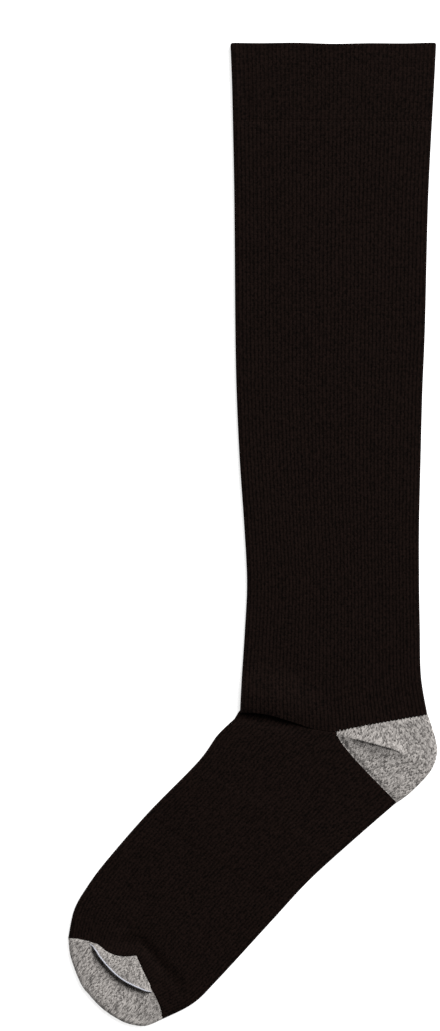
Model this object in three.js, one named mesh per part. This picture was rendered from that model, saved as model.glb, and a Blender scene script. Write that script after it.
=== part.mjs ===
// A knee-high compression stocking that lies flat: cuff welt, leg, heel pocket, foot and toe cap.
// Millimetres. The cuff points to +Y, the toe to -X and -Y, and the underside lies on z = 0.
// Every piece is a flattened tube or pocket: an upper wall, a lower wall and a thin slit between them.
import * as THREE from "three";

// Thickness of one wall of each piece. The cuff is knitted double, so its wall is the thickest.
const cuffWall = 1.9;
const bodyWall = 1.4;
const pocketWall = 1.7;
const slit = 0.6;
const seamGap = 0.3;

// Ribs that stand up from the upper wall, counted across the face that shows
const legRibs = 48;
const legRibHeight = 0.32;
const cuffRibHeight = 0.2;
const archRibs = 24;
const archRibHeight = 0.45;
const archBand = { from: 0.25, to: 0.48, ramp: 0.015 };

// Steps across the plain sides, and how far into a rounded edge its own points lie
const plainSteps = 16;
const edgeSteps = [0, 0.15, 0.5];

// The heel is a fan of sections that starts just off its inner point, as a part of its reach
const heelTip = 0.03;
const heelSteps = 12;
const fanSteps = 14;

// The tube from the top of the cuff to the ankle: where its front and back edges are at each height
const cuffSections = [
  { y: 259.9, front: -12.1, back: 96.9 },
  { y: 240, front: -11.3, back: 95.9 },
  { y: 218.7, front: -10.8, back: 94.7 },
];
const legSections = [
  { y: 218.7, front: -10.8, back: 94.7 },
  { y: 175, front: -10, back: 92.6 },
  { y: 110, front: -9.5, back: 91 },
  { y: 75, front: -8.8, back: 89.6 },
  { y: 40, front: -7.2, back: 88.7 },
  { y: 5, front: -4.8, back: 87.9 },
  { y: -25, front: -3.3, back: 87.9 },
  { y: -50, front: -4.4, back: 88.3 },
  { y: -75, front: -6, back: 88.9 },
  { y: -95, front: -7, back: 92.2 },
];

// Edges of the foot from the ankle to the toe
const instepEdge = curve([
  { x: -7, y: -95 },
  { x: -18.4, y: -105.6 },
  { x: -29.2, y: -120.2 },
  { x: -55.4, y: -147 },
  { x: -77.5, y: -172.4 },
  { x: -87.8, y: -186.2 },
  { x: -94.7, y: -198.4 },
  { x: -97.9, y: -213.6 },
]);
const soleEdge = curve([
  { x: 76, y: -141.7 },
  { x: 52.9, y: -161.8 },
  { x: 29.6, y: -183 },
  { x: 10, y: -204.2 },
  { x: -19.2, y: -236 },
  { x: -32, y: -248.3 },
  { x: -48.1, y: -256.5 },
]);

// Round edges of the heel, from the leg to the sole, and of the toe, from each side to its tip
const heelEdge = curve([
  { x: 92.2, y: -95 },
  { x: 96.3, y: -106.7 },
  { x: 97.7, y: -116 },
  { x: 94.2, y: -125.4 },
  { x: 84.1, y: -135.9 },
  { x: 76, y: -141.7 },
]);
const toeFrontEdge = curve([
  { x: -97.9, y: -213.6 },
  { x: -96.6, y: -223.7 },
  { x: -91.3, y: -237.5 },
  { x: -80.6, y: -250.1 },
]);
const toeSoleEdge = curve([
  { x: -48.1, y: -256.5 },
  { x: -57.2, y: -260 },
  { x: -66.5, y: -258.6 },
  { x: -80.6, y: -250.1 },
]);

// Seam lines that two pieces share, from the front edge to the middle and from there to the back edge
const ankleCrease = curve([
  { x: -7, y: -95 },
  { x: 9.1, y: -96.6 },
  { x: 23.9, y: -101.4 },
  { x: 33, y: -104 },
  { x: 44.1, y: -104.5 },
]);
const upperGore = curve([
  { x: 44.1, y: -104.5 },
  { x: 53.3, y: -101.9 },
  { x: 70.3, y: -98.8 },
  { x: 92.2, y: -95 },
]);
const lowerGore = curve([
  { x: 44.1, y: -104.5 },
  { x: 47.6, y: -111.2 },
  { x: 58.1, y: -123.3 },
  { x: 76, y: -141.7 },
]);
const toeLineFront = curve([
  { x: -97.9, y: -213.6 },
  { x: -86.5, y: -216.3 },
  { x: -77.6, y: -222 },
  { x: -70, y: -223.8 },
  { x: -61.6, y: -223.1 },
]);
const toeLineSole = curve([
  { x: -61.6, y: -223.1 },
  { x: -58.6, y: -231 },
  { x: -53.6, y: -241 },
  { x: -49.6, y: -248.4 },
  { x: -48.1, y: -256.5 },
]);

// The rim of the flap that the toe is folded into, as one course of the toe from front to sole
const flapAt = 0.1;
const flapRise = { seam: 0.8, rim: 2.5 };
const flapRim = curve([
  { x: -97.6, y: -217.8 },
  { x: -92, y: -217 },
  { x: -86.4, y: -217.4 },
  { x: -82.6, y: -219.8 },
  { x: -80.2, y: -222.9 },
  { x: -74.1, y: -229.8 },
  { x: -67.4, y: -235.2 },
  { x: -58.8, y: -239.4 },
  { x: -52.6, y: -242.6 },
  { x: -50.8, y: -249 },
  { x: -51.4, y: -258.2 },
]);

// Creases and soft rolls of the upper wall. Rise is how far the line itself stands up, or sinks if
// negative. Left and right are how far the slope reaches on each side, as seen along the line, and
// start and end are what is left of the rise at its two ends.
const legFolds = [
  fold({ rise: 2.8, left: 14, right: 5, start: 0.9, end: 0.1 }, [
    { x: -7, y: -91.5 },
    { x: 8, y: -93.2 },
    { x: 22, y: -98 },
    { x: 40, y: -103.4 },
  ]),
];
const cuffFolds = [
  fold({ rise: -0.5, left: 4, right: 4, start: 0.3, end: 1 }, [
    { x: -4, y: 236 },
    { x: -4.5, y: 218 },
  ]),
];
const footFolds = [
  fold({ rise: -0.7, left: 5, right: 5, start: 1, end: 0.2 }, [
    { x: -12, y: -101 },
    { x: 8, y: -102 },
    { x: 24, y: -107 },
    { x: 42, y: -109 },
  ]),
  fold({ rise: -0.7, left: 12, right: 12, start: 0.3, end: 0.4 }, [
    { x: 34, y: -113 },
    { x: 30, y: -134 },
    { x: 12, y: -156 },
    { x: -12, y: -180 },
    { x: -34, y: -207 },
  ]),
  fold({ rise: -0.6, left: 8, right: 8, start: 0, end: 0 }, [
    { x: -48, y: -157 },
    { x: -66, y: -176 },
    { x: -78, y: -197 },
  ]),
  fold({ rise: -1, left: 7, right: 5, start: 0.2, end: 0.2 }, [
    { x: -70, y: -212 },
    { x: -58, y: -217 },
    { x: -49, y: -228 },
    { x: -40, y: -239 },
  ]),
  fold({ rise: 1.6, left: 9, right: 3, start: 0.2, end: 0.2 }, [
    { x: -84, y: -215 },
    { x: -66, y: -221 },
    { x: -57, y: -228 },
    { x: -49, y: -246 },
  ]),
];
const heelFolds = [
  fold({ rise: 2.8, left: 9, right: 12, start: 0.1, end: 0 }, [
    { x: 46, y: -106.5 },
    { x: 60, y: -109 },
    { x: 76.5, y: -114 },
    { x: 89, y: -121 },
  ]),
];

/** A smooth plane curve through the rows of a table. */
function curve(rows) {
  return new THREE.SplineCurve(rows.map(({ x, y }) => new THREE.Vector2(x, y)));
}

/** A crease or roll: its sizes, with the points of its line and the line's direction at each. */
function fold(sizes, rows) {
  const line = curve(rows);
  const track = evenly(0, 1, 40).map((t) => ({ t, place: line.getPoint(t), along: line.getTangent(t) }));
  return { ...sizes, track };
}

/** Numbers at even spaces, both ends included. */
function evenly(from, to, steps) {
  return Array.from({ length: steps + 1 }, (_, k) => from + ((to - from) * k) / steps);
}

/** One edge of a tube, from the table of its sections. */
function sectionEdge(sections, side) {
  return curve(sections.map((section) => ({ x: section[side], y: section.y })));
}

/** A straight line across a tube, over q from 0 at the front to 1 at the back. */
function straight(front, back) {
  return (q) => front.clone().lerp(back, q);
}

/** Two curves that meet at the middle of a tube, as one line over q. */
function joined(first, second) {
  return (q) => (q < 0.5 ? first.getPointAt(2 * q) : second.getPointAt(2 * q - 1));
}

/** How far a line bows away from the straight line between its ends. */
function bow(line, q) {
  return line(q).sub(straight(line(0), line(1))(q));
}

/**
 * The plane shape of a tube, over s along it and q across it. A course runs straight from the front
 * edge to the back edge, and takes on the bow of the tube's first or last line as it nears that line.
 */
function courses({ front, back, first, last }) {
  const share = (distance) => (1 - Math.min(2 * distance, 1)) ** 2;
  return (s, q) => {
    const course = straight(front.getPointAt(s), back.getPointAt(s))(q);
    course.addScaledVector(bow(first, q), share(s));
    return course.addScaledVector(bow(last, q), share(1 - s));
  };
}

/** The plane shape of the toe. Its courses turn from the toe line into the flap's rim, then straighten. */
function toeCourses(s, q) {
  const course = straight(toeFrontEdge.getPointAt(s), toeSoleEdge.getPointAt(s))(q);
  const rim = bow((at) => flapRim.getPointAt(at), q);
  if (s > flapAt) return course.addScaledVector(rim, ((1 - s) / (1 - flapAt)) ** 2);
  course.addScaledVector(bow(joined(toeLineFront, toeLineSole), q), 1 - s / flapAt);
  return course.addScaledVector(rim, s / flapAt);
}

/** The flap of the folded toe rises to its rim, and dies out towards both edges of the toe. */
function flapLift(s, q) {
  const reach = 0.38;
  const rise = flapRise.seam + ((flapRise.rim - flapRise.seam) * s) / flapAt;
  return s > flapAt ? 0 : rise * fall(Math.abs(q - 0.5) / reach);
}

/** A smooth fall from 1 at zero to 0 at one. */
function fall(x) {
  const rest = 1 - Math.min(x, 1);
  return rest * rest * (3 - 2 * rest);
}

/** How far the folds of a piece lift one point of its upper wall. */
function foldLift(folds, point) {
  let lift = 0;
  for (const { rise, left, right, start, end, track } of folds) {
    const gaps = track.map(({ place }) => place.distanceTo(point));
    const gap = Math.min(...gaps);
    const { t, place, along } = track[gaps.indexOf(gap)];
    const isLeft = along.x * (point.y - place.y) > along.y * (point.x - place.x);
    const strength = t < 0.5 ? start + (1 - start) * 2 * t : end + (1 - end) * 2 * (1 - t);
    lift += rise * strength * fall(gap / (isLeft ? left : right));
  }
  return lift;
}

/** What is left of the full thickness near a rounded edge, as on a half circle. */
function roundness(distance, radius) {
  return Math.sqrt(1 - (1 - Math.min(distance / radius, 1)) ** 2);
}

/** Places across the ribbed side. The ribs lie between the two rounded edges, two points to a rib. */
function ribbedPlaces(ribs, edge) {
  const near = edgeSteps.map((part) => ({ q: part * edge, crown: 0 }));
  const middle = evenly(edge, 1 - edge, 2 * ribs).map((q, k) => ({ q, crown: k % 2 }));
  const far = near.map(({ q }) => ({ q: 1 - q, crown: 0 })).reverse();
  return [...near, ...middle, ...far];
}

/** Places across the plain side, without the two ends that the ribbed side has. */
function plainPlaces(edge) {
  const near = edgeSteps.slice(1).map((part) => part * edge);
  return [...near, ...evenly(edge, 1 - edge, plainSteps), ...near.map((q) => 1 - q).reverse()];
}

/**
 * The outer ring of a tube at s: over the top from front to back, then under it to the front again.
 * Turn says how far round a point is. Pinch thins the ring about its middle, for a rounded end.
 */
function outerRing(tube, { s, pinch = 1 }) {
  const width = tube.plan(s, 0).distanceTo(tube.plan(s, 1));
  const half = tube.wall + slit / 2;
  const swell = (q) => pinch * roundness(Math.min(q, 1 - q) * width, half);
  const top = ribbedPlaces(tube.ribs, half / width).map(({ q, crown }) => {
    const place = tube.plan(s, q);
    const rise = crown * tube.ribHeight(s) + tube.lift(place, s, q);
    return { place, z: half + swell(q) * (half + rise), turn: q / 2 };
  });
  const bottom = plainPlaces(half / width).map((q) => {
    return { place: tube.plan(s, q), z: half - swell(q) * half, turn: 1 - q / 2 };
  });
  return { top, bottom: bottom.reverse() };
}

/** The inner ring of a tube at s, round the slit, in the same form as the outer one. */
function innerRing(tube, { s }) {
  const width = tube.plan(s, 0).distanceTo(tube.plan(s, 1));
  const edge = tube.wall / width;
  const half = tube.wall + slit / 2;
  const places = evenly(edge, 1 - edge, plainSteps);
  const isEnd = (k) => k === 0 || k === plainSteps;
  const top = places.map((q, k) => {
    return { place: tube.plan(s, q), z: isEnd(k) ? half : half + slit / 2, turn: q / 2 };
  });
  const bottom = places.slice(1, -1).map((q) => {
    return { place: tube.plan(s, q), z: half - slit / 2, turn: 1 - q / 2 };
  });
  return { top, bottom: bottom.reverse() };
}

/** The corners and faces of one closed body. */
class Shell {
  corners = [];
  faces = [];

  /** Adds the points of a chain, and gives back their numbers with their turns. */
  chain(points) {
    return points.map(({ place, z, turn }) => {
      this.corners.push(place.x, place.y, z);
      return { corner: this.corners.length / 3 - 1, turn };
    });
  }

  /** Adds a ring, and keeps its two sides apart as chains. */
  ring({ top, bottom }) {
    return { top: this.chain(top), bottom: this.chain(bottom) };
  }

  /** One face, unless two of its corners are the same. */
  face(a, b, c) {
    if (a !== b && b !== c && c !== a) this.faces.push(a, b, c);
  }

  /** Faces between two chains with as many points as each other. */
  band(one, two) {
    for (let k = 0; k + 1 < one.length; k += 1) {
      this.face(one[k].corner, two[k].corner, one[k + 1].corner);
      this.face(one[k + 1].corner, two[k].corner, two[k + 1].corner);
    }
  }

  /** Faces between two chains with different numbers of points, taken in the order of their turns. */
  zip(one, two) {
    let i = 0;
    let j = 0;
    while (i + 1 < one.length || j + 1 < two.length) {
      const isFirst = j + 1 === two.length || (i + 1 < one.length && one[i + 1].turn <= two[j + 1].turn);
      const next = isFirst ? one[i + 1] : two[j + 1];
      this.face(one[i].corner, two[j].corner, next.corner);
      i += isFirst ? 1 : 0;
      j += isFirst ? 0 : 1;
    }
  }

  geometry() {
    const geometry = new THREE.BufferGeometry();
    geometry.setAttribute("position", new THREE.Float32BufferAttribute(this.corners, 3));
    geometry.setIndex(this.faces);
    return geometry;
  }
}

/** A ring as one chain that goes all the way round and ends on its first point. */
function loop({ top, bottom }) {
  return [...top, ...bottom, { ...top[0], turn: 1 }];
}

/** The underside of a ring as a chain from front to back, with both ends of the top side. */
function underside({ top, bottom }) {
  const back = bottom.map(({ corner, turn }) => ({ corner, turn: 1 - turn })).reverse();
  return [top[0], ...back, top.at(-1)];
}

/** A tube with its wall, open at its first end and either open or closed at its last. */
function tubeGeometry(tube) {
  const shell = new Shell();
  const outer = tube.outer.map((station) => shell.ring(outerRing(tube, station)));
  const inner = tube.inner.map((station) => shell.ring(innerRing(tube, station)));
  for (let k = 0; k + 1 < outer.length; k += 1) shell.band(loop(outer[k]), loop(outer[k + 1]));
  for (let k = 0; k + 1 < inner.length; k += 1) shell.band(loop(inner[k + 1]), loop(inner[k]));
  shell.zip(loop(inner[0]), loop(outer[0]));
  if (tube.isClosed) {
    shell.zip(outer.at(-1).top, underside(outer.at(-1)));
    shell.zip(underside(inner.at(-1)), inner.at(-1).top);
  } else {
    shell.zip(loop(outer.at(-1)), loop(inner.at(-1)));
  }
  return shell.geometry();
}

/** Stations along a tube, at even spaces between each two of the given places. */
function stations(...spans) {
  const places = spans.flatMap(({ from, to, steps }) => evenly(from, to, steps));
  return [...new Set(places)].map((s) => ({ s }));
}

/** A point of a gore line, moved in from the seam to the heel's side of it. */
function goreSide(line, r, distance) {
  const along = line.getTangentAt(r);
  return line.getPointAt(r).add(new THREE.Vector2(-along.y, along.x).multiplyScalar(distance));
}

/**
 * The plane shape of the heel, over fan from the leg's side to the foot's, and over r from the heel's
 * inner point out to its round edge. Straight rays swell outwards as they near that edge.
 */
function heelPlan(fan, r) {
  const ray = straight(goreSide(upperGore, r, -seamGap / 2), goreSide(lowerGore, r, seamGap / 2))(fan);
  return ray.addScaledVector(bow((at) => heelEdge.getPointAt(at), fan), r * r);
}

/** One hairpin section of the heel: out along the upper wall, round the edge, back along the lower. */
function heelSection(fan) {
  const length = heelPlan(fan, heelTip).distanceTo(heelPlan(fan, 1));
  const half = pocketWall + slit / 2;
  const edge = half / length;
  const swell = (r) => roundness((1 - r) * length, half);
  const rounded = edgeSteps.map((part) => 1 - part * edge).reverse();
  const above = [...evenly(heelTip, 1 - edge, heelSteps), ...rounded];
  const below = [...evenly(heelTip, 1 - edge, plainSteps / 2), ...rounded.slice(0, -1)];
  const inside = evenly(heelTip, 1 - pocketWall / length, plainSteps / 2);
  const point = (r, side, rise) => {
    return { place: heelPlan(fan, r), z: half + rise, turn: side > 0 ? r / 2 : 1 - r / 2 };
  };
  const top = above.map((r) => point(r, 1, swell(r) * (half + foldLift(heelFolds, heelPlan(fan, r)))));
  const bottom = below.map((r) => point(r, -1, -swell(r) * half)).reverse();
  const slitTop = inside.slice(0, -1).map((r) => point(r, 1, slit / 2));
  const slitEnd = point(inside.at(-1), 1, 0);
  const slitBottom = inside.slice(0, -1).map((r) => point(r, -1, -slit / 2)).reverse();
  return { outer: [...top, ...bottom], inner: [...slitTop, slitEnd, ...slitBottom] };
}

/** The heel pocket: a fan of hairpin sections round the heel's inner point. */
function heelGeometry() {
  const shell = new Shell();
  const sections = evenly(0, 1, fanSteps).map((fan) => {
    const { outer, inner } = heelSection(fan);
    return { outer: shell.chain(outer), inner: shell.chain(inner) };
  });
  const around = ({ outer, inner }) => [...outer, ...inner.toReversed(), outer[0]];
  for (let k = 0; k < fanSteps; k += 1) shell.band(around(sections[k]), around(sections[k + 1]));
  shell.zip(sections[0].inner, sections[0].outer);
  shell.zip(sections[fanSteps].outer, sections[fanSteps].inner);
  return shell.geometry();
}

/** Half the seam gap, as a part of the length of a piece. Each tube stops that far from its seam. */
function trim(edge) {
  return seamGap / 2 / edge.getLength();
}

const cuffFront = sectionEdge(cuffSections, "front");
const cuffBack = sectionEdge(cuffSections, "back");
const legFront = sectionEdge(legSections, "front");
const legBack = sectionEdge(legSections, "back");
const cuffTop = straight(cuffFront.getPoint(0), cuffBack.getPoint(0));
const weltLine = straight(legFront.getPoint(0), legBack.getPoint(0));

const cuff = {
  plan: courses({ front: cuffFront, back: cuffBack, first: cuffTop, last: weltLine }),
  wall: cuffWall,
  ribs: legRibs,
  ribHeight: () => cuffRibHeight,
  lift: (place) => foldLift(cuffFolds, place),
  outer: [{ s: 0, pinch: 0.7 }, ...stations({ from: 0.02, to: 1 - trim(cuffFront), steps: 4 })],
  inner: stations({ from: 0, to: 1 - trim(cuffFront), steps: 2 }),
};

const leg = {
  plan: courses({ front: legFront, back: legBack, first: weltLine, last: joined(ankleCrease, upperGore) }),
  wall: bodyWall,
  ribs: legRibs,
  ribHeight: () => legRibHeight,
  lift: (place) => foldLift(legFolds, place),
  outer: stations(
    { from: trim(legFront), to: 0.9, steps: 7 },
    { from: 0.94, to: 1 - trim(legFront), steps: 3 },
  ),
  inner: stations({ from: trim(legFront), to: 1 - trim(legFront), steps: 7 }),
};

const foot = {
  plan: courses({
    front: instepEdge,
    back: soleEdge,
    first: joined(ankleCrease, lowerGore),
    last: joined(toeLineFront, toeLineSole),
  }),
  wall: bodyWall,
  ribs: archRibs,
  ribHeight: (s) => (s > archBand.from && s < archBand.to ? archRibHeight : 0),
  lift: (place) => foldLift(footFolds, place),
  outer: stations(
    { from: trim(soleEdge), to: archBand.from, steps: 6 },
    { from: archBand.from + archBand.ramp, to: archBand.to - archBand.ramp, steps: 3 },
    { from: archBand.to, to: 0.8, steps: 4 },
    { from: 0.84, to: 1 - trim(soleEdge), steps: 5 },
  ),
  inner: stations({ from: trim(soleEdge), to: 1 - trim(soleEdge), steps: 9 }),
};

const toe = {
  plan: toeCourses,
  wall: pocketWall,
  ribs: archRibs,
  ribHeight: () => 0,
  lift: (place, s, q) => flapLift(s, q),
  outer: [
    ...stations({ from: trim(toeSoleEdge), to: flapAt, steps: 3 }, { from: 0.112, to: 0.88, steps: 6 }),
    { s: 0.94, pinch: 0.6 },
  ],
  inner: stations({ from: trim(toeSoleEdge), to: 0.84, steps: 6 }),
  isClosed: true,
};

const blackKnit = new THREE.MeshStandardMaterial({ color: "#171110", roughness: 0.92, metalness: 0 });
const heatherKnit = new THREE.MeshStandardMaterial({ color: "#9b9693", roughness: 0.95, metalness: 0 });

/** One named piece of the stocking. */
function piece(name, geometry, material) {
  const mesh = new THREE.Mesh(geometry, material);
  mesh.name = name;
  return mesh;
}

const stocking = new THREE.Group();
stocking.add(
  piece("cuff_welt", tubeGeometry(cuff), blackKnit),
  piece("leg", tubeGeometry(leg), blackKnit),
  piece("heel_pocket", heelGeometry(), heatherKnit),
  piece("foot", tubeGeometry(foot), blackKnit),
  piece("toe_cap", tubeGeometry(toe), heatherKnit),
);

export default stocking;
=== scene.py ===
import bpy
import numpy as np
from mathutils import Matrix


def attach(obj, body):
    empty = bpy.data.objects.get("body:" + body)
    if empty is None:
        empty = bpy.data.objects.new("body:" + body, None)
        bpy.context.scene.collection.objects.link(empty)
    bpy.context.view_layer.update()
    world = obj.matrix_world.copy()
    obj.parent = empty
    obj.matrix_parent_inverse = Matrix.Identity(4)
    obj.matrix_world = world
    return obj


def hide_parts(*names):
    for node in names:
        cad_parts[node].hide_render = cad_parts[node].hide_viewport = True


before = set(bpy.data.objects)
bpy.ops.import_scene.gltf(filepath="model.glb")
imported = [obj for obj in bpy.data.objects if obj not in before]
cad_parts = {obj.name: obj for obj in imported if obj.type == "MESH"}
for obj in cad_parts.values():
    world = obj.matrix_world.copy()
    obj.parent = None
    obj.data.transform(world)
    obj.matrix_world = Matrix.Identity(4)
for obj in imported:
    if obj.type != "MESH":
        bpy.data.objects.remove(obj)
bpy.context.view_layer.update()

# Camera, floor and light. The stocking lies on a white light table and is seen from straight above, so
# the camera looks down its own axis. A large soft lamp stands far off to the upper right, and dim walls all
# round fill the shadows a little.
MM = 0.001
PHOTO_SIZE = (440, 1031)  # pixels
MM_PER_PIXEL = 0.53
PHOTO_ZERO = (253.15, 534.65)  # the pixel where the frame's origin is seen
CAMERA_HEIGHT = 1600.0
CLIP_RANGE = (0.05, 50.0)  # metres
SENSOR = 36.0
PALE_WALLS = 0.07
LAMP_PLACE = (2700.0, 3070.0, 4390.0)
LAMP_SIDE = 3600.0
LAMP_WATTS = 405.0
TABLE_GLOW = 0.75
FLOOR_SIDE = 24000.0
FLOOR_DROP = 0.2  # keeps the floor just clear of the flat underside
OPAL_GRAIN = 220.0  # one patch of its faint unevenness in about 4.5 mm


def linear(colour):
    """The linear values of an sRGB hex colour, with an alpha of one."""
    parts = np.array([int(colour[k:k + 2], 16) for k in (1, 3, 5)]) / 255
    low, high = parts / 12.92, ((parts + 0.055) / 1.055) ** 2.4
    return (*np.where(parts <= 0.04045, low, high), 1.0)


def add_node(material, kind, inputs=None, **settings):
    """Adds a node to a material or world, sets its settings, and gives its inputs values or links."""
    tree = material.node_tree
    made = tree.nodes.new("ShaderNode" + kind)
    for name, value in settings.items():
        setattr(made, name, value)
    for key, value in (inputs or {}).items():
        if isinstance(value, bpy.types.NodeSocket):
            tree.links.new(value, made.inputs[key])
        else:
            made.inputs[key].default_value = value
    return made


scene = bpy.context.scene
scene.view_settings.view_transform = "Standard"

centre = [(size / 2 - zero) * MM_PER_PIXEL for size, zero in zip(PHOTO_SIZE, PHOTO_ZERO)]
camera_data = bpy.data.cameras.new("camera")
camera_data.sensor_width = SENSOR
camera_data.lens = SENSOR * CAMERA_HEIGHT / (max(PHOTO_SIZE) * MM_PER_PIXEL)
camera_data.clip_start, camera_data.clip_end = CLIP_RANGE
camera = bpy.data.objects.new("camera", camera_data)
camera.location = (centre[0] * MM, -centre[1] * MM, CAMERA_HEIGHT * MM)
scene.collection.objects.link(camera)
scene.camera = camera

world = bpy.data.worlds.new("pale_walls")
world.use_nodes = True
background = world.node_tree.nodes["Background"]
background.inputs["Color"].default_value = (1.0, 1.0, 1.0, 1.0)
background.inputs["Strength"].default_value = PALE_WALLS
scene.world = world

lamp_data = bpy.data.lights.new("softbox", "AREA")
lamp_data.energy = LAMP_WATTS
lamp_data.size = LAMP_SIDE * MM
lamp = bpy.data.objects.new("softbox", lamp_data)
lamp.location = [x * MM for x in LAMP_PLACE]
lamp.rotation_mode = "QUATERNION"
lamp.rotation_quaternion = lamp.location.to_track_quat("Z", "Y")
scene.collection.objects.link(lamp)

# Opal acrylic, matt, lit softly from below, so that thin shadows nearly vanish on it
opal = bpy.data.materials.new("matt_opal_acrylic")
opal.use_nodes = True
opal_shader = opal.node_tree.nodes["Principled BSDF"]
opal_shader.inputs["Roughness"].default_value = 0.8
opal_shader.inputs["Emission Color"].default_value = (1.0, 1.0, 1.0, 1.0)
opal_shader.inputs["Emission Strength"].default_value = TABLE_GLOW
opal_grain = add_node(opal, "TexNoise", {"Scale": OPAL_GRAIN, "Detail": 3.0})
opal_tone = add_node(opal, "ValToRGB", {"Fac": opal_grain.outputs["Fac"]})
opal_tone.color_ramp.elements[0].color = linear("#f3f3f3")
opal_tone.color_ramp.elements[1].color = linear("#f7f7f7")
opal.node_tree.links.new(opal_tone.outputs["Color"], opal_shader.inputs["Base Color"])
floor_mesh = bpy.data.meshes.new("floor")
half_floor = FLOOR_SIDE / 2 * MM
floor_mesh.from_pydata(
    [(x * half_floor, y * half_floor, -FLOOR_DROP * MM) for x, y in ((-1, -1), (1, -1), (1, 1), (-1, 1))],
    [],
    [(0, 1, 2, 3)],
)
floor_mesh.materials.append(opal)
floor = bpy.data.objects.new("floor", floor_mesh)
scene.collection.objects.link(floor)

# Cuff welt. The top of the stocking is knitted twice as long as it shows, turned in on itself and looped
# down at the welt line, so its wall is double and its top edge is a soft round turn. It is the same
# black polyamide and elastane rib as the leg, and the tube is open there.
COURSE = 1.25  # height of one drawn row of loops, about two real ones so that it shows
CUFF_WALL = 1.9
BODY_WALL = 1.4  # the single cloth of leg and foot
SLIT = 0.6  # between the upper wall and the lower
CUFF_RIBS = 48
CUFF_RIB_HEIGHT = 0.12
LEG_RIB_HEIGHT = 0.32
RIB_ROUNDNESS = 0.8  # the power that gives a rib its full, round top
RIB_POINTS = (6, 4)  # points for each rib, on top and underneath
CUFF_TOP_LIFT = 1.1  # how far the mouth stands open at its middle
CUFF_EDGE_WAVE = 0.3
CUFF_WAVES = [(1, 0, 7.3, 0.6), (0.6, 0, 17.9, 2.1)]
CUFF_TROUGH_AT = -4.3
CUFF_TROUGH_HALF = 5.0
CUFF_TROUGH_DEPTH = 0.5
CUFF_THINS = (0.55, 0.45)  # where along the cuff its wall begins to thin to the leg's, and over how much
CUFF_RIBS_RISE = (0.8, 0.2)  # the same for its ribs, which rise to the leg's
WELT_GROOVE = 0.18
WELT_GROOVE_AT = 0.985  # where along the cuff the groove lies
WELT_GROOVE_HALF = 0.02
CUFF_FRONT = [(-12.1, 259.9), (-11.3, 240), (-10.8, 218.7)]
CUFF_BACK = [(96.9, 259.9), (95.9, 240), (94.7, 218.7)]
WELT_FRONT, WELT_BACK = CUFF_FRONT[-1], CUFF_BACK[-1]
OVERLAP = 0.25  # how far each piece reaches past a knitted join, so that no gap shows
EDGE_STEPS = 5  # points in the quarter turn from an edge to the flat
LEAST_WIDTH = 0.01  # a tube is never taken to be narrower
EDGE_SPREAD = 0.01  # keeps the columns at the edges of the inside apart
DEEPEST_PRESS = 0.2  # how far a trough may press down the upper wall of the inside
MOUTH_STEPS = 7  # rows round the open mouth
LIP_STEPS = 6  # rows round an end that shows
JOIN_STEPS = 3  # rows round an end that lies hidden in a join
CUFF_INNER_STEP = 4  # the inside has one row for so many on the outside


def spline(rows, steps=60):
    """A smooth plane curve through rows of x and y, as a function of the part of its length.
    Between two rows it is the cubic whose slope at each row is half the step between the neighbours of
    that row, with the first and last row counted twice."""
    knots = np.array(rows, float)
    ends = np.vstack([knots[:1], knots, knots[-1:]])
    a, b, c, d = (ends[k:k + len(knots) - 1, None] for k in range(4))
    w = np.linspace(0, 1, steps, endpoint=False)[None, :, None]
    track = b * (2 * w**3 - 3 * w**2 + 1) + c * (3 * w**2 - 2 * w**3)
    track += (c - a) / 2 * (w**3 - 2 * w**2 + w) + (d - b) / 2 * (w**3 - w**2)
    track = np.vstack([track.reshape(-1, 2), knots[-1:]])
    length = np.concatenate([[0], np.cumsum(np.hypot(*np.diff(track, axis=0).T))])
    part = length / length[-1]
    return lambda t: np.stack([np.interp(t, part, track[:, 0]), np.interp(t, part, track[:, 1])], -1)


def joined(first, second):
    """Two curves that meet at the middle of a tube, as one line over q from 0 to 1."""
    return lambda q: np.where(np.asarray(q)[..., None] < 0.5, first(2 * q), second(2 * q - 1))


def straight(a, b):
    """The straight line from a to b, over q."""
    return lambda q: a + (b - a) * np.asarray(q)[..., None]


def bow(line, q):
    """How far a line lies off the straight line between its ends, at q."""
    return line(q) - straight(line(0.0), line(1.0))(q)


def courses(front, back, first, last):
    """The plane shape of a tube, over s along it and q across it: the straight line between its two edges
    at s, plus the bow of its first line times the square of one less twice s, down to zero at the middle,
    and the bow of its last line in the same way from the other end."""
    def plan(s, q):
        s, q = np.broadcast_arrays(s, q)
        near = np.clip(1 - 2 * s, 0, 1)[..., None] ** 2
        far = np.clip(2 * s - 1, 0, 1)[..., None] ** 2
        a, b = front(s), back(s)
        return a + (b - a) * q[..., None] + bow(first, q) * near + bow(last, q) * far
    return plan


def smooth(x):
    """A smooth rise from 0 at zero to 1 at one."""
    x = np.clip(x, 0, 1)
    return x * x * (3 - 2 * x)


def ramp(x, start, length):
    """A smooth rise from 0 where x is the start to 1 a length further on."""
    return smooth((x - start) / length)


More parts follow.
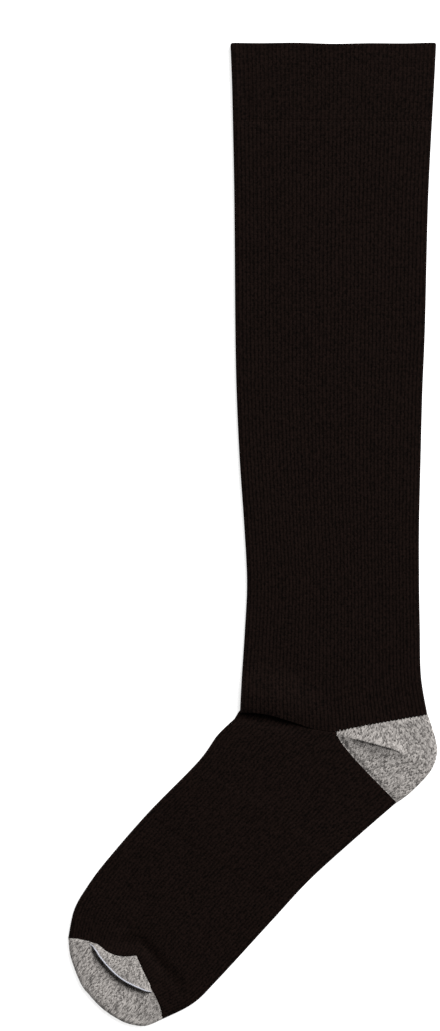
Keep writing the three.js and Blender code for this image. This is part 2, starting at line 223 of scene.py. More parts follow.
def around(ribs, top_points, under_points):
    """Places round a flattened tube, from its front edge over the top to the back edge and back under it.
    Each has the part m of the way across the flat, the angle of bend from 0 at an edge to a quarter turn
    on the flat, the side, 1 on top and -1 under, and the number of ribs passed, one for each bend."""
    bend = np.linspace(0, np.pi / 2, EDGE_STEPS + 1)[:-1]
    top = np.linspace(0, 1, ribs * top_points + 1)
    under = np.linspace(1, 0, ribs * under_points + 1)
    zero, one, flat = np.zeros(EDGE_STEPS), np.ones(EDGE_STEPS), np.pi / 2
    m = np.concatenate([zero, top, one, one[1:], under, zero])
    angle = np.concatenate([bend, 0 * top + flat, bend[::-1], bend[1:], 0 * under + flat, bend[::-1]])
    side = np.where(np.arange(m.size) < top.size + 2 * EDGE_STEPS, 1, -1)
    passed = np.abs(np.diff(m)) * ribs + np.abs(np.diff(angle)) / flat
    return m, angle, side, np.concatenate([[0], np.cumsum(passed)])


def crown(passed):
    """The section of a rib: zero in the valley between two ribs and one on its rounded top."""
    return np.sin(np.pi * (passed % 1)) ** RIB_ROUNDNESS


def outer_skin(plan, wall, ring, s, relief, relief_under):
    """The outside of a flattened tube. Its section is two flats joined by half circles of half its
    thickness: q runs evenly over the flats and as one less the cosine of the bend round the edges, and
    the height as the sine of the bend. Relief stands up from the top, and up into it from under."""
    m, angle, side, passed = ring
    half = wall + SLIT / 2
    width = np.linalg.norm(plan(s, 0.0) - plan(s, 1.0), axis=-1)
    edge = np.minimum(half / np.maximum(width, LEAST_WIDTH), 0.5)
    q = edge + m * (1 - 2 * edge) - (1 - 2 * m) * edge * np.cos(angle)
    place = plan(s, q)
    above = half + np.sin(angle) * (half + relief(place, s, q, passed))
    below = half - np.sin(angle) * (half - relief_under(place, s, q, passed))
    return np.concatenate([place, np.where(side > 0, above, below)[..., None]], -1), q


def inner_skin(plan, wall, ring, s, raised):
    """The inside of the same tube, one wall further in, as two flats that lie a slit apart. The upper one
    follows the folds of the outside."""
    m, angle, side, passed = ring
    half = wall + SLIT / 2
    width = np.linalg.norm(plan(s, 0.0) - plan(s, 1.0), axis=-1)
    edge = np.minimum(wall / np.maximum(width, LEAST_WIDTH), 0.5)
    q = edge + (1 - 2 * edge) * (m + (1 - 2 * m) * EDGE_SPREAD * (1 - np.cos(angle)))
    place = plan(s, q)
    above = half + np.sin(angle) * (SLIT / 2 + np.maximum(raised(place, s, q, passed), -DEEPEST_PRESS))
    below = half - np.sin(angle) * SLIT / 2
    return np.concatenate([place, np.where(side > 0, above, below)[..., None]], -1)


def outward(line, q, turn):
    """The unit normal of a seam line at q: turn is 1 towards the toe and -1 towards the cuff."""
    step = 0.004
    along = line(np.clip(q + step, 0, 1)) - line(np.clip(q - step, 0, 1))
    along /= np.linalg.norm(along, axis=-1, keepdims=True)
    return turn * np.stack([along[..., 1], -along[..., 0]], -1)


def lip(start, end, direction, reach, steps):
    """Rows that carry a skin round the end of its wall: half an ellipse from one point to the other,
    that reaches out in the given direction."""
    angles = np.linspace(np.pi / 2, -np.pi / 2, steps + 2)[1:-1, None, None]
    out = np.concatenate([direction * np.asarray(reach)[..., None], 0 * start[:, :1]], -1)
    return (start + end) / 2 + (start - end) / 2 * np.sin(angles) + out * np.cos(angles)


def knitted(name, points, counts, material, poles=False):
    """A closed mesh from a grid of points in millimetres. Its columns join up all the way round, and the
    last one repeats the first. Its rows join up too, or each end closes in a point if it has poles.
    Counts are the ribs and courses passed, kept as the map that the knit patterns follow."""
    rows, columns = points.shape[0], points.shape[1] - 1
    i = np.arange(rows - 1 if poles else rows)[:, None]
    j = np.arange(columns)[None]
    below = (i + 1) % rows
    wide = columns + 1
    corners = [(i, j), (i, j + 1), (below, j + 1), (below, j)]
    quads = np.stack([a * columns + b % columns for a, b in corners], -1).reshape(-1, 4)
    where = np.stack([a * wide + b for a, b in corners], -1).reshape(-1, 4)
    places, marks = points[:, :-1].reshape(-1, 3), counts.reshape(-1, 2)
    loops, marked, sizes = quads.ravel(), where.ravel(), np.full(len(quads), 4)
    if poles:
        tips = points[[0, -1], :-1].mean(1)
        first, last = len(places), len(places) + 1
        places = np.vstack([places, tips])
        start, end = (rows - 1) * columns, (rows - 1) * wide
        caps = [(j * 0 + first, (j + 1) % columns, j), (j * 0 + last, start + j, start + (j + 1) % columns)]
        cap_marks = [(j, j + 1, j), (end + j, end + j, end + j + 1)]
        loops = np.concatenate([loops, *[np.stack(cap, -1).ravel() for cap in caps]])
        marked = np.concatenate([marked, *[np.stack(cap, -1).ravel() for cap in cap_marks]])
        sizes = np.concatenate([sizes, np.full(2 * columns, 3)])
    starts = np.concatenate([[0], np.cumsum(sizes)[:-1]])
    # The volume inside comes out negative if the faces point inwards, and each is then turned round
    volume = np.cross(places[loops[starts]], places[loops[starts + 1]])
    volume = (volume * places[loops[starts + 2]]).sum() + (
        np.cross(places[quads[:, 0]], places[quads[:, 2]]) * places[quads[:, 3]]
    ).sum()
    if volume < 0:
        turned = np.repeat(2 * starts + sizes - 1, sizes) - np.arange(loops.size)
        loops, marked = loops[turned], marked[turned]
    mesh = bpy.data.meshes.new(name)
    mesh.vertices.add(len(places))
    mesh.vertices.foreach_set("co", (places * MM).astype(np.float32).ravel())
    mesh.loops.add(loops.size)
    mesh.loops.foreach_set("vertex_index", loops.astype(np.int32))
    mesh.polygons.add(starts.size)
    mesh.polygons.foreach_set("loop_start", starts.astype(np.int32))
    mesh.uv_layers.new(name="knit").uv.foreach_set("vector", marks[marked].astype(np.float32).ravel())
    mesh.update(calc_edges=True)
    mesh.validate()
    mesh.polygons.foreach_set("use_smooth", np.ones(len(mesh.polygons), bool))
    mesh.materials.append(material)
    made = bpy.data.objects.new(name, mesh)
    scene.collection.objects.link(made)
    return made


def tube_counts(passed, along):
    """The map of a tube: ribs passed round it, and courses passed along it, for each point of its rows."""
    return np.stack(np.broadcast_arrays(passed[None, :], along[:, None]), -1)


ROW_SHARE = 0.6  # how much of a loop's height comes with its row, and the rest with its arm alone


def knit_loops(material, slant):
    """The loops of a knit on the piece's own map. Across a rib, a is 0 on its middle and 1 in the valley.
    Each arm of a loop is a bulge, the sine of pi times a, and the rows of loops bend up towards the
    valley by the slant. Gives the height of the yarn, a, and one number for each arm."""
    def maths(operation, *values):
        return add_node(material, "Math", dict(enumerate(values)), operation=operation).outputs[0]
    mapped = add_node(material, "UVMap", uv_map="knit").outputs["UV"]
    split = add_node(material, "SeparateXYZ", {"Vector": mapped})
    rib, course = split.outputs["X"], split.outputs["Y"]
    twice = maths("MULTIPLY", rib, 2.0)
    a = maths("ABSOLUTE", maths("SUBTRACT", maths("MULTIPLY", maths("FRACT", rib), 2.0), 1.0))
    bent = maths("SUBTRACT", course, maths("MULTIPLY", a, slant))
    arm = maths("SINE", maths("MULTIPLY", a, np.pi))
    row = maths("SINE", maths("MULTIPLY", maths("FRACT", bent), np.pi))
    height = maths("MULTIPLY", arm, maths("MULTIPLY_ADD", row, ROW_SHARE, 1 - ROW_SHARE))
    cell = add_node(material, "CombineXYZ", {"X": maths("FLOOR", twice), "Y": maths("FLOOR", bent)})
    number = add_node(material, "TexWhiteNoise", {"Vector": cell.outputs[0]}, noise_dimensions="2D")
    return height, a, number.outputs["Value"]


# Black polyamide and elastane yarn, dyed through and knitted tight. It drinks the light, so the ribs
# show only as slightly paler lines, with a faint warm cast and a speckle of lint. The colour also carries
# painted shade: it is made darker down in the valleys between the ribs, where shade falls.
YARN_FUZZ = 1100.0  # one patch of lint in about 0.9 mm, coarser than real so that it shows
LINT_GAIN = 2.0  # how strongly the lint lightens and darkens the yarn
ARM_GAIN = 0.5  # how much one arm of a loop is lighter than the next
VALLEY_PAINTED_SHADE = 0.5  # painted shade: how much darker the colour is made in the valley between two ribs
RIB_SLANT = 0.5  # how far the rows of loops bend up towards the valley, in rows
YARN_BUMP = 0.12
black_knit = bpy.data.materials.new("black_polyamide_elastane_rib_knit")
black_knit.use_nodes = True
height, valley, number = knit_loops(black_knit, RIB_SLANT)
lint = add_node(black_knit, "TexNoise", {
    "Vector": add_node(black_knit, "TexCoord").outputs["Object"], "Scale": YARN_FUZZ, "Detail": 3.0,
})
lint_share = {0: lint.outputs["Fac"], 1: LINT_GAIN, 2: (1 - LINT_GAIN) / 2}
speckle = add_node(black_knit, "Math", lint_share, operation="MULTIPLY_ADD")
arm_share = {0: number, 1: ARM_GAIN, 2: speckle.outputs[0]}
shine = add_node(black_knit, "Math", arm_share, operation="MULTIPLY_ADD")
# Painted shade: the colour is darkened in the valley between two ribs, where the ribs shade it
valley_painted_shade = {0: valley, 1: -VALLEY_PAINTED_SHADE, 2: shine.outputs[0]}
shine = add_node(black_knit, "Math", valley_painted_shade, operation="MULTIPLY_ADD")
tone = add_node(black_knit, "ValToRGB", {"Fac": shine.outputs[0]})
tone.color_ramp.elements[0].color = linear("#0b0807")
tone.color_ramp.elements[1].color = linear("#211714")
bumped = add_node(black_knit, "Bump", {"Height": height, "Distance": YARN_BUMP * MM, "Strength": 0.8})
shader = black_knit.node_tree.nodes["Principled BSDF"]
black_knit.node_tree.links.new(tone.outputs["Color"], shader.inputs["Base Color"])
black_knit.node_tree.links.new(bumped.outputs["Normal"], shader.inputs["Normal"])
shader.inputs["Roughness"].default_value = 0.85
shader.inputs["Specular IOR Level"].default_value = 0.02
shader.inputs["Sheen Weight"].default_value = 0.004
shader.inputs["Sheen Roughness"].default_value = 0.4

cuff_top = straight(np.array(CUFF_FRONT[0], float), np.array(CUFF_BACK[0], float))
welt_line = straight(np.array(WELT_FRONT, float), np.array(WELT_BACK, float))
cuff_length = CUFF_FRONT[0][1] - WELT_FRONT[1]
cuff_plan = courses(spline(CUFF_FRONT), spline(CUFF_BACK), cuff_top, welt_line)


def waves(rows, s, q):
    """A sum of sines. Each row is the height of one, and how much its angle grows along s and across q,
    and the angle at zero."""
    return sum(height * np.sin(along * s + across * q + start) for height, along, across, start in rows)


def cuff_shape(s, q):
    """The cuff's plane shape, with the slow wave of its top edge, which dies out down the cuff."""
    place = cuff_plan(s, q)
    place[..., 1] += CUFF_EDGE_WAVE * waves(CUFF_WAVES, s, q) * np.clip(1 - 3 * s, 0, 1) ** 2
    return place


def welt_groove(s):
    """How deep the groove is where the turned-in layer is looped down, at s along the cuff."""
    return WELT_GROOVE * smooth(1 - np.abs(s - WELT_GROOVE_AT) / WELT_GROOVE_HALF)


def cuff_raised(place, s, q, passed):
    """The mouth stands open a little at its middle, one soft trough runs down near the front edge, and
    the wall sinks slowly to the leg's at the welt line, with a faint groove of linked loops there."""
    mouth = CUFF_TOP_LIFT * np.sin(np.pi * q) ** 2 * np.clip(1 - 1.6 * s, 0, 1) ** 2
    aside = np.abs(place[..., 0] - CUFF_TROUGH_AT)
    trough = -CUFF_TROUGH_DEPTH * smooth(1 - aside / CUFF_TROUGH_HALF) * smooth(2 * s)
    thinner = 2 * (BODY_WALL - CUFF_WALL) * ramp(s, *CUFF_THINS)
    deeper_ribs = (LEG_RIB_HEIGHT - CUFF_RIB_HEIGHT) * ramp(s, *CUFF_RIBS_RISE)
    return mouth + trough + thinner + deeper_ribs - welt_groove(s)


# Rows lie closer together near the welt line
cuff_ring = around(CUFF_RIBS, *RIB_POINTS)
cuff_rows = np.concatenate([
    np.linspace(CUFF_WALL / 2 / cuff_length, 0.88, 22), np.linspace(0.9, 1, 18),
])[:, None]
cuff_outer, _ = outer_skin(
    cuff_shape, CUFF_WALL, cuff_ring, cuff_rows,
    lambda place, s, q, passed: cuff_raised(place, s, q, passed) + CUFF_RIB_HEIGHT * crown(passed),
    lambda place, s, q, passed: CUFF_RIB_HEIGHT * (1 - crown(passed)) + welt_groove(s),
)
cuff_inner_rows = cuff_rows[::CUFF_INNER_STEP]
cuff_inner = inner_skin(cuff_shape, CUFF_WALL, cuff_ring, cuff_inner_rows, cuff_raised)
cuff_q = cuff_ring[0]
cuff_mouth = lip(cuff_inner[0], cuff_outer[0], outward(cuff_top, cuff_q, -1), CUFF_WALL / 2, MOUTH_STEPS)
cuff_end = lip(cuff_outer[-1], cuff_inner[-1], outward(welt_line, cuff_q, 1), OVERLAP, JOIN_STEPS)
cuff_points = np.concatenate([cuff_outer, cuff_end, cuff_inner[::-1], cuff_mouth])
cuff_along = np.concatenate([
    cuff_rows[:, 0], np.full(JOIN_STEPS, 1.0), cuff_inner_rows[::-1, 0], np.full(MOUTH_STEPS, cuff_rows[0, 0]),
]) * cuff_length / COURSE
cuff = knitted("cuff_welt_knit", cuff_points, tube_counts(cuff_ring[3], cuff_along), black_knit)
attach(cuff, "root")
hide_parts("cuff_welt")

# Leg. A seamless tube of one by one rib, black polyamide plaited with elastane, knitted down from the
# welt and made narrower towards the ankle by tighter loops. At the ankle crease it rolls over the foot,
# and along the heel its ribs end in small teeth where the grey yarn takes over.
LEG_EDGE = [
    (-10.8, 94.7, 218.7), (-10, 92.6, 175), (-9.5, 91, 110), (-8.8, 89.6, 75), (-7.2, 88.7, 40),
    (-4.8, 87.9, 5), (-3.3, 87.9, -25), (-4.4, 88.3, -50), (-6, 88.9, -75), (-7, 92.2, -95),
]
ANKLE_CREASE = [(-7, -95), (1, -95), (9.1, -96.3), (22, -100.2), (32, -103.2), (44.1, -104.5)]
UPPER_GORE = [(44.1, -104.5), (53.3, -101.9), (70.3, -98.8), (92.2, -95)]
TOOTH = 0.9  # how far the end of each rib reaches over the grey
ROLL_REACH = 1.1  # how far the rolled edge stands out over the ankle crease
ROLL_END, ROLL_FADE = 0.47, 0.3  # how far across the leg the roll goes, and over how much it fades
ROLL_DRAW = (0.9, 0.1)  # where along the leg it begins to draw back under the roll, and over how much
LEG_GROOVE = 0.22  # how far the underside goes up between its ribs
LEG_STRAY = [(0.16, 31, 9, 0), (0.1, 73, 23, 1)]
LEG_WAVES = [(0.16, 17, 2.6, 0.5), (0.12, 9, -7, 2), (0.1, 41, 5, 0)]
LEG_FLAT_ENDS = 12  # the unevenness fades out in one part of so many, at each end
LEVEL_SINK = 0.3
LEVEL_ROWS = (0.985, 0.015)  # where along the leg the level part begins, and over how much
LEVEL_FROM = (0.25, 0.15)  # the same across the leg
LEVEL_END, LEVEL_FADE = 0.56, 0.06
LEG_INNER_STEP = 5
FOLD_STEPS = 81  # points on the line of a fold


def hollow(x):
    """The square of x: a slope that is steep at the top and flattens out at the foot."""
    return x * x


def rounded(x):
    """A quarter circle: a slope that is flat at the top and drops straight down at the foot."""
    return np.sqrt(1 - (1 - x) ** 2)


def fold(rows, right_side=smooth):
    """A crease or soft roll. Each row is a place on its line, how far the line rises there, or sinks if
    negative, and how far the slope reaches to its left and its right, as seen along it."""
    table = np.array(rows, float)
    steps = np.linspace(0, 1, FOLD_STEPS)
    gaps = np.hypot(*np.diff(table[:, :2], axis=0).T)
    knots = np.concatenate([[0], np.cumsum(gaps)]) / gaps.sum()
    sizes = np.stack([np.interp(steps, knots, table[:, k]) for k in (2, 3, 4)], -1)
    track = spline(table[:, :2])(steps)
    return track, np.gradient(track, axis=0), sizes, right_side


def lifted(folds, place):
    """How far the folds lift each place: the rise at the nearest point of each line, times the form of
    the slope at what is left of its reach on that side. The left side is always a smooth one."""
    total = np.zeros(place.shape[:-1])
    flat = place.reshape(-1, 2)
    for track, along, sizes, right_side in folds:
        near = np.zeros(len(flat), int)
        gap = np.full(len(flat), np.inf)
        for k, point in enumerate(track):
            distance = np.hypot(*(flat - point).T)
            closer = distance < gap
            gap, near = np.where(closer, distance, gap), np.where(closer, k, near)
        aside = flat - track[near]
        is_left = along[near, 0] * aside[:, 1] > along[near, 1] * aside[:, 0]
        rise, left, right = sizes[near].T
        rest = np.clip(1 - gap / np.where(is_left, left, right), 0, 1)
        total += (rise * np.where(is_left, smooth(rest), right_side(rest))).reshape(total.shape)
    return total


leg_table = np.array(LEG_EDGE, float)
leg_front, leg_back = spline(leg_table[:, [0, 2]]), spline(leg_table[:, [1, 2]])
leg_length = LEG_EDGE[0][2] - LEG_EDGE[-1][2]
leg_end_line = joined(spline(ANKLE_CREASE), spline(UPPER_GORE))
leg_plan = courses(leg_front, leg_back, welt_line, leg_end_line)
leg_folds = [fold([
    (-8, -85, 2.6, 18, 10.2), (-1, -85.6, 4.4, 20, 10.8), (9, -87, 4.8, 20, 10.8),
    (20, -90.6, 3.5, 18, 10.2), (30, -94.6, 1.3, 14, 9), (37, -98, 0.4, 10, 7), (43, -101.5, 0, 6, 5),
], rounded)]


def leg_roll(q):
    """How much of the roll over the ankle crease is left at q: all at the front, none past the middle."""
    return smooth((ROLL_END - q) / ROLL_FADE)


def leg_shape(s, q):
    """The leg's plane shape. Its end draws back by as much as the rolled lip then reaches out, and the
    ribs stray a little to either side on their way down."""
    place = leg_plan(s, q)
    back = outward(leg_end_line, q, -1)
    place = place + back * ((ROLL_REACH + OVERLAP) * leg_roll(q) * ramp(s, *ROLL_DRAW))[..., None]
    place[..., 0] += waves(LEG_STRAY, s, q) * np.sin(np.pi * np.clip(q, 0, 1)) * np.sin(np.pi * s)
    return place


def slack(rows, flat_ends, s, q):
    """The slow unevenness of a panel that lies loose on another: waves that fade out at both edges, as
    the sine of pi times q, and at both ends."""
    middle = np.sin(np.pi * np.clip(q, 0, 1))
    return waves(rows, s, q) * middle * smooth(flat_ends * s) * smooth(flat_ends * (1 - s))


def leg_raised(place, s, q, passed):
    """The roll at the ankle and the slack, and the last courses between roll and heel, sunk to lie level
    with the foot."""
    level = LEVEL_SINK * ramp(s, *LEVEL_ROWS) * ramp(q, *LEVEL_FROM) * smooth((LEVEL_END - q) / LEVEL_FADE)
    return lifted(leg_folds, place) + slack(LEG_WAVES, LEG_FLAT_ENDS, s, q) - level


# Rows lie closer together from the roll down
leg_ring = around(CUFF_RIBS, *RIB_POINTS)
leg_rows = np.concatenate([
    np.linspace(0.0006, 0.9, 72), np.linspace(0.906, 0.966, 14), np.linspace(0.969, 0.9994, 24),
])[:, None]
leg_outer, leg_q = outer_skin(
    leg_shape, BODY_WALL, leg_ring, leg_rows,
    lambda place, s, q, passed: leg_raised(place, s, q, passed) + LEG_RIB_HEIGHT * crown(passed),
    lambda place, s, q, passed: LEG_GROOVE * (1 - crown(passed)),
)
leg_inner_rows = leg_rows[::LEG_INNER_STEP]
leg_inner = inner_skin(leg_shape, BODY_WALL, leg_ring, leg_inner_rows, leg_raised)
leg_teeth = np.where(leg_q[-1] > 0.5, TOOTH * crown(leg_ring[3]), 0.0)
leg_lips = np.where(leg_ring[2] > 0, ROLL_REACH * leg_roll(leg_q[-1]), 0.0)
leg_reach = leg_lips + leg_teeth + OVERLAP
leg_start = lip(leg_inner[0], leg_outer[0], outward(welt_line, leg_q[0], -1), OVERLAP, JOIN_STEPS)
leg_end = lip(leg_outer[-1], leg_inner[-1], outward(leg_end_line, leg_q[-1], 1), leg_reach, LIP_STEPS)
leg_points = np.concatenate([leg_outer, leg_end, leg_inner[::-1], leg_start])
leg_along = np.concatenate([
    leg_rows[:, 0], np.full(LIP_STEPS, 1.0), leg_inner_rows[::-1, 0], np.full(JOIN_STEPS, 0.0),
]) * leg_length / COURSE
leg = knitted("leg_knit", leg_points, tube_counts(leg_ring[3], leg_along), black_knit)
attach(leg, "root")
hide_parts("leg")

# Heel pocket. A cup knitted back and forth in plain knit, in a yarn spun from light and dark grey fibre,
# with its courses turned round the inner point so that it hugs the heel. It is joined to leg and foot
# along two gore lines and lies folded flat, with one sharp crease across it.
HEEL_WALL = 1.7
HEEL_WALE = 1.3
HEEL_COURSE = 1.0
HEEL_STITCH = 0.12
HEEL_TIP = 0.02
HEEL_EDGE = [(92.2, -95), (96.3, -106.7), (97.7, -116), (94.2, -125.4), (84.1, -135.9), (76, -141.7)]
LOWER_GORE = [(44.1, -104.5), (47.6, -111.2), (58.1, -123.3), (76, -141.7)]
HEEL_TUCK = 0.9  # how far the grey goes on under the black at each gore line
HEEL_SINK = 0.75  # how far the grey lies down where it goes under the black
HEEL_SINK_REACH = 2.4
UNDER_SHARE = 0.1  # how much of that sink there is underneath
HEEL_TOP_POINTS = 210
HEEL_UNDER_POINTS = 105
HEEL_RAYS = 170
HEEL_INNER_STEP = 12
PLAIN_SLANT = 0.6  # how far the rows of loops of plain knit bend, in rows


def loop_relief(ribs, course):
    """The raised arms of plain knit loops, between 0 and 1, with the same formula as the material's."""
    a = np.abs(2 * (ribs % 1) - 1)
    row = np.sin(np.pi * ((course - PLAIN_SLANT * a) % 1))
    return np.sin(np.pi * a) * (1 - ROW_SHARE + ROW_SHARE * row)


# Heather grey yarn, a carded blend of light and dark fibre. Each arm of a loop comes out lighter or
# darker than the next, which gives the knit its speckle.
FIBRE_GRAIN = 1900.0  # one patch of light or dark fibre in about 0.5 mm
HEATHER_ARM_GAIN = 0.45  # how much one arm of a loop is lighter than the next
heather_knit = bpy.data.materials.new("heather_grey_plain_knit")
heather_knit.use_nodes = True
height, _, number = knit_loops(heather_knit, PLAIN_SLANT)
fibre = add_node(heather_knit, "TexNoise", {
    "Vector": add_node(heather_knit, "TexCoord").outputs["Object"], "Scale": FIBRE_GRAIN, "Detail": 4.0,
    "Roughness": 0.7,
})
arm_share = {0: number, 1: HEATHER_ARM_GAIN, 2: -HEATHER_ARM_GAIN / 2}
mixed = add_node(heather_knit, "Math", arm_share, operation="MULTIPLY_ADD")
mixed = add_node(heather_knit, "Math", {0: mixed.outputs[0], 1: fibre.outputs["Fac"]}, operation="ADD")
tone = add_node(heather_knit, "ValToRGB", {"Fac": mixed.outputs[0]})
tone.color_ramp.elements[0].position = 0.24
tone.color_ramp.elements[0].color = linear("#524e4c")
tone.color_ramp.elements[1].position = 0.76
tone.color_ramp.elements[1].color = linear("#d6d0cb")
bumped = add_node(heather_knit, "Bump", {"Height": height, "Distance": YARN_BUMP * MM, "Strength": 0.7})
shader = heather_knit.node_tree.nodes["Principled BSDF"]
heather_knit.node_tree.links.new(tone.outputs["Color"], shader.inputs["Base Color"])
heather_knit.node_tree.links.new(bumped.outputs["Normal"], shader.inputs["Normal"])
shader.inputs["Roughness"].default_value = 0.92
shader.inputs["Specular IOR Level"].default_value = 0.15
shader.inputs["Sheen Weight"].default_value = 0.08

upper_gore, lower_gore, heel_edge = spline(UPPER_GORE), spline(LOWER_GORE), spline(HEEL_EDGE)
heel_folds = [
    fold([
        (46, -106.7, 0.3, 4, 4), (54, -107.9, 2, 6, 8), (60, -109.4, 2.9, 8, 11), (70, -112, 3.1, 9, 13),
        (76.5, -114.4, 2.1, 9, 12), (83, -117.8, 0.6, 8, 10), (89, -121, 0, 6, 8),
    ], hollow),
    fold([
        (49, -107, 0, 3, 1.6), (55, -108, 0.6, 3, 1), (60, -109.4, 1, 4, 0.5), (71, -112.3, 1.1, 4, 0.5),
        (76, -114.1, 0.6, 3, 0.6), (79, -115.5, 0, 3, 1),
    ]),
]


def heel_shape(fan, r):
    """The heel's plane shape, over fan from the upper gore to the lower and r from the inner point out:
    straight rays between the two gores, swollen by the bow of the round edge times r squared, and run
    on a little past each gore."""
    fan, r = np.broadcast_arrays(fan, r)
    up = upper_gore(r) + outward(upper_gore, r, -1) * HEEL_TUCK
    down = lower_gore(r) + outward(lower_gore, r, 1) * HEEL_TUCK
    return up + (down - up) * fan[..., None] + bow(heel_edge, fan) * (r * r)[..., None]


def length_of(line):
    """The length of a line, as the sum of about two hundred short steps."""
    return float(np.linalg.norm(np.diff(line(np.linspace(0, 1, 200)), axis=0), axis=1).sum())


heel_size, heel_arc = length_of(upper_gore), length_of(heel_edge)
heel_half = HEEL_WALL + SLIT / 2
heel_bend = np.linspace(0, np.pi / 2, EDGE_STEPS + 1)[1:-1]
heel_flat = 1 - heel_half / heel_size
heel_top = np.linspace(HEEL_TIP, heel_flat, HEEL_TOP_POINTS)
heel_under = np.linspace(heel_flat, HEEL_TIP, HEEL_UNDER_POINTS)
heel_round = 1 - (1 - heel_flat) * (1 - np.cos(heel_bend[::-1]))
heel_r = np.concatenate([heel_top, heel_round, [1.0], heel_round[::-1], heel_under])
heel_swell = np.concatenate([
    heel_top * 0 + 1, np.sin(heel_bend[::-1]), [0.0], np.sin(heel_bend), heel_under * 0 + 1,
])
heel_side = np.where(np.arange(heel_r.size) < heel_top.size + heel_bend.size + 1, 1.0, -1.0)
heel_out = np.cumsum(np.abs(np.diff(heel_r, prepend=heel_r[0]))) * heel_size / HEEL_WALE
heel_fans = np.linspace(0, 1, HEEL_RAYS)


def heel_skin(fan):
    """The outside of the heel, in rows of one r and columns of one fan: two faces joined by half a circle
    round the outer edge, sunk near both gores, with the folds and the loops raised from the top."""
    r, swell = heel_r[:, None], heel_swell[:, None]
    side = heel_side[:, None]
    place = heel_shape(fan[None, :], r)
    course = (fan[None, :] - 0.5) * r * heel_arc / HEEL_COURSE
    stitch = HEEL_STITCH * loop_relief(heel_out[:, None], course)
    reach = np.minimum(fan, 1 - fan)[None, :] * r * heel_arc
    sink = HEEL_SINK * smooth(1 - (reach - HEEL_TUCK) / HEEL_SINK_REACH)
    above = heel_half + swell * (heel_half + lifted(heel_folds, place) + stitch - sink)
    below = heel_half - swell * (heel_half - UNDER_SHARE * sink - HEEL_STITCH + stitch)
    z = np.where(side > 0, above, below)
    marks = np.stack(np.broadcast_arrays(heel_out[:, None], course), -1)
    return np.concatenate([place, z[..., None]], -1), marks


heel_outer, heel_marks = heel_skin(heel_fans)
inner_fans = heel_fans[::-HEEL_INNER_STEP]
heel_inner, inner_marks = heel_skin(inner_fans)
heel_inner[..., 2] = heel_half + heel_side[:, None] * heel_swell[:, None] * SLIT / 2
shrink = 1 - HEEL_WALL / heel_size * heel_r ** 4
heel_inner[..., :2] = heel_shape(inner_fans[None, :], (heel_r * shrink)[:, None])
heel_points = np.concatenate([heel_outer, heel_inner, heel_outer[:, :1]], 1)
heel_counts = np.concatenate([heel_marks, inner_marks, heel_marks[:, :1]], 1)
heel = knitted("heel_pocket_knit", heel_points, heel_counts, heather_knit, poles=True)
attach(heel, "root")
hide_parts("heel_pocket")

# Foot. The tube goes on from the ankle in a finer rib, forty-eight wales across, in the same black yarn.
# Round the arch a band of rib twice as wide holds it in. One soft trough runs from the heel's inner
# point to the toe, and it rolls over at its end, above the folded toe.
FOOT_RIBS = 48
FOOT_RIB_HEIGHT = 0.12
ARCH_RIB_HEIGHT = 0.5
ARCH_FROM, ARCH_TO, ARCH_RAMP = 0.25, 0.48, 0.012
INSTEP_EDGE = [
    (-7, -95), (-18.4, -105.6), (-29.2, -120.2), (-55.4, -147), (-77.5, -172.4), (-87.8, -186.2),
    (-94.7, -198.4), (-97.9, -213.3),
]
SOLE_EDGE = [
    (76, -141.7), (52.9, -161.8), (29.6, -183), (10, -204.2), (-19.2, -236), (-32, -248.3), (-48.1, -256.5),
]
TOE_LINE_FRONT = [(-97.9, -213.3), (-85.8, -215.2), (-76.9, -220.4), (-69.5, -222.3), (-61.5, -222)]
TOE_LINE_SOLE = [(-61.5, -222), (-58.2, -230.7), (-53.4, -240.8), (-49.6, -248.4), (-48.1, -256.5)]
FOOT_UNDER = 2.0  # how far its first courses lie under the roll of the ankle
FOOT_UNDER_ROWS = 0.03  # the part of its length that this takes
FOOT_END_ROLL = 0.4  # how much further than the overlap its end rolls over the toe
FOOT_WAVES = [(0.13, 14, 4, 0), (0.1, 23, -9, 1)]
FOOT_FLAT_ENDS = 8
FOOT_LENGTH = 168.0
FOOT_RIB_POINTS = (5, 4)
FOOT_INNER_STEP = 7

foot_first = joined(spline(ANKLE_CREASE), spline(LOWER_GORE))
foot_last = joined(spline(TOE_LINE_FRONT), spline(TOE_LINE_SOLE))
foot_plan = courses(spline(INSTEP_EDGE), spline(SOLE_EDGE), foot_first, foot_last)
foot_folds = [
    fold([(-10, -97.5, -0.7, 4, 5), (8, -98.5, -0.7, 4, 5), (20, -101.5, -0.5, 4, 5), (32, -105, 0, 4, 5)]),
    fold([(34, -113, -0.2, 12, 12), (30, -134, -0.5, 13, 10), (12, -156, -0.8, 12, 13),
          (-12, -180, -0.6, 11, 12), (-34, -207, -0.2, 12, 12)]),
    fold([(-48, -157, 0, 8, 8), (-66, -176, -0.6, 8, 9), (-78, -197, 0, 8, 8)]),
    fold([(-72, -213, -0.2, 6, 5), (-66, -216, -1, 7, 5), (-58, -218.6, -1.3, 6, 4),
          (-49, -228, -1.3, 6, 4), (-40, -239, -0.8, 8, 4), (-35, -246, 0, 6, 4)]),
    fold([(-77, -203, 0, 5, 5), (-70, -207, -0.5, 6, 5), (-60, -213, -0.5, 6, 5), (-52, -221, 0, 5, 5)]),
    fold([(-88, -216, 0.2, 5, 3), (-80, -220.5, 1.3, 7, 3), (-70, -223.4, 2, 8, 3),
          (-61, -223.5, 1.6, 8, 3), (-56, -234, 1.1, 7, 3), (-49, -249, 0.3, 5, 3)]),
]


def foot_shape(s, q):
    """The foot's plane shape, with its first courses drawn back under the roll of the ankle."""
    place = foot_plan(s, q)
    back = outward(foot_first, q, -1)
    return place + back * (FOOT_UNDER * leg_roll(q) * (1 - smooth(s / FOOT_UNDER_ROWS)))[..., None]


def arch_band(s):
    """How much of the arch band there is at s: all between its ends, with a short ramp at each."""
    return smooth((s - ARCH_FROM) / ARCH_RAMP) * smooth((ARCH_TO - s) / ARCH_RAMP)


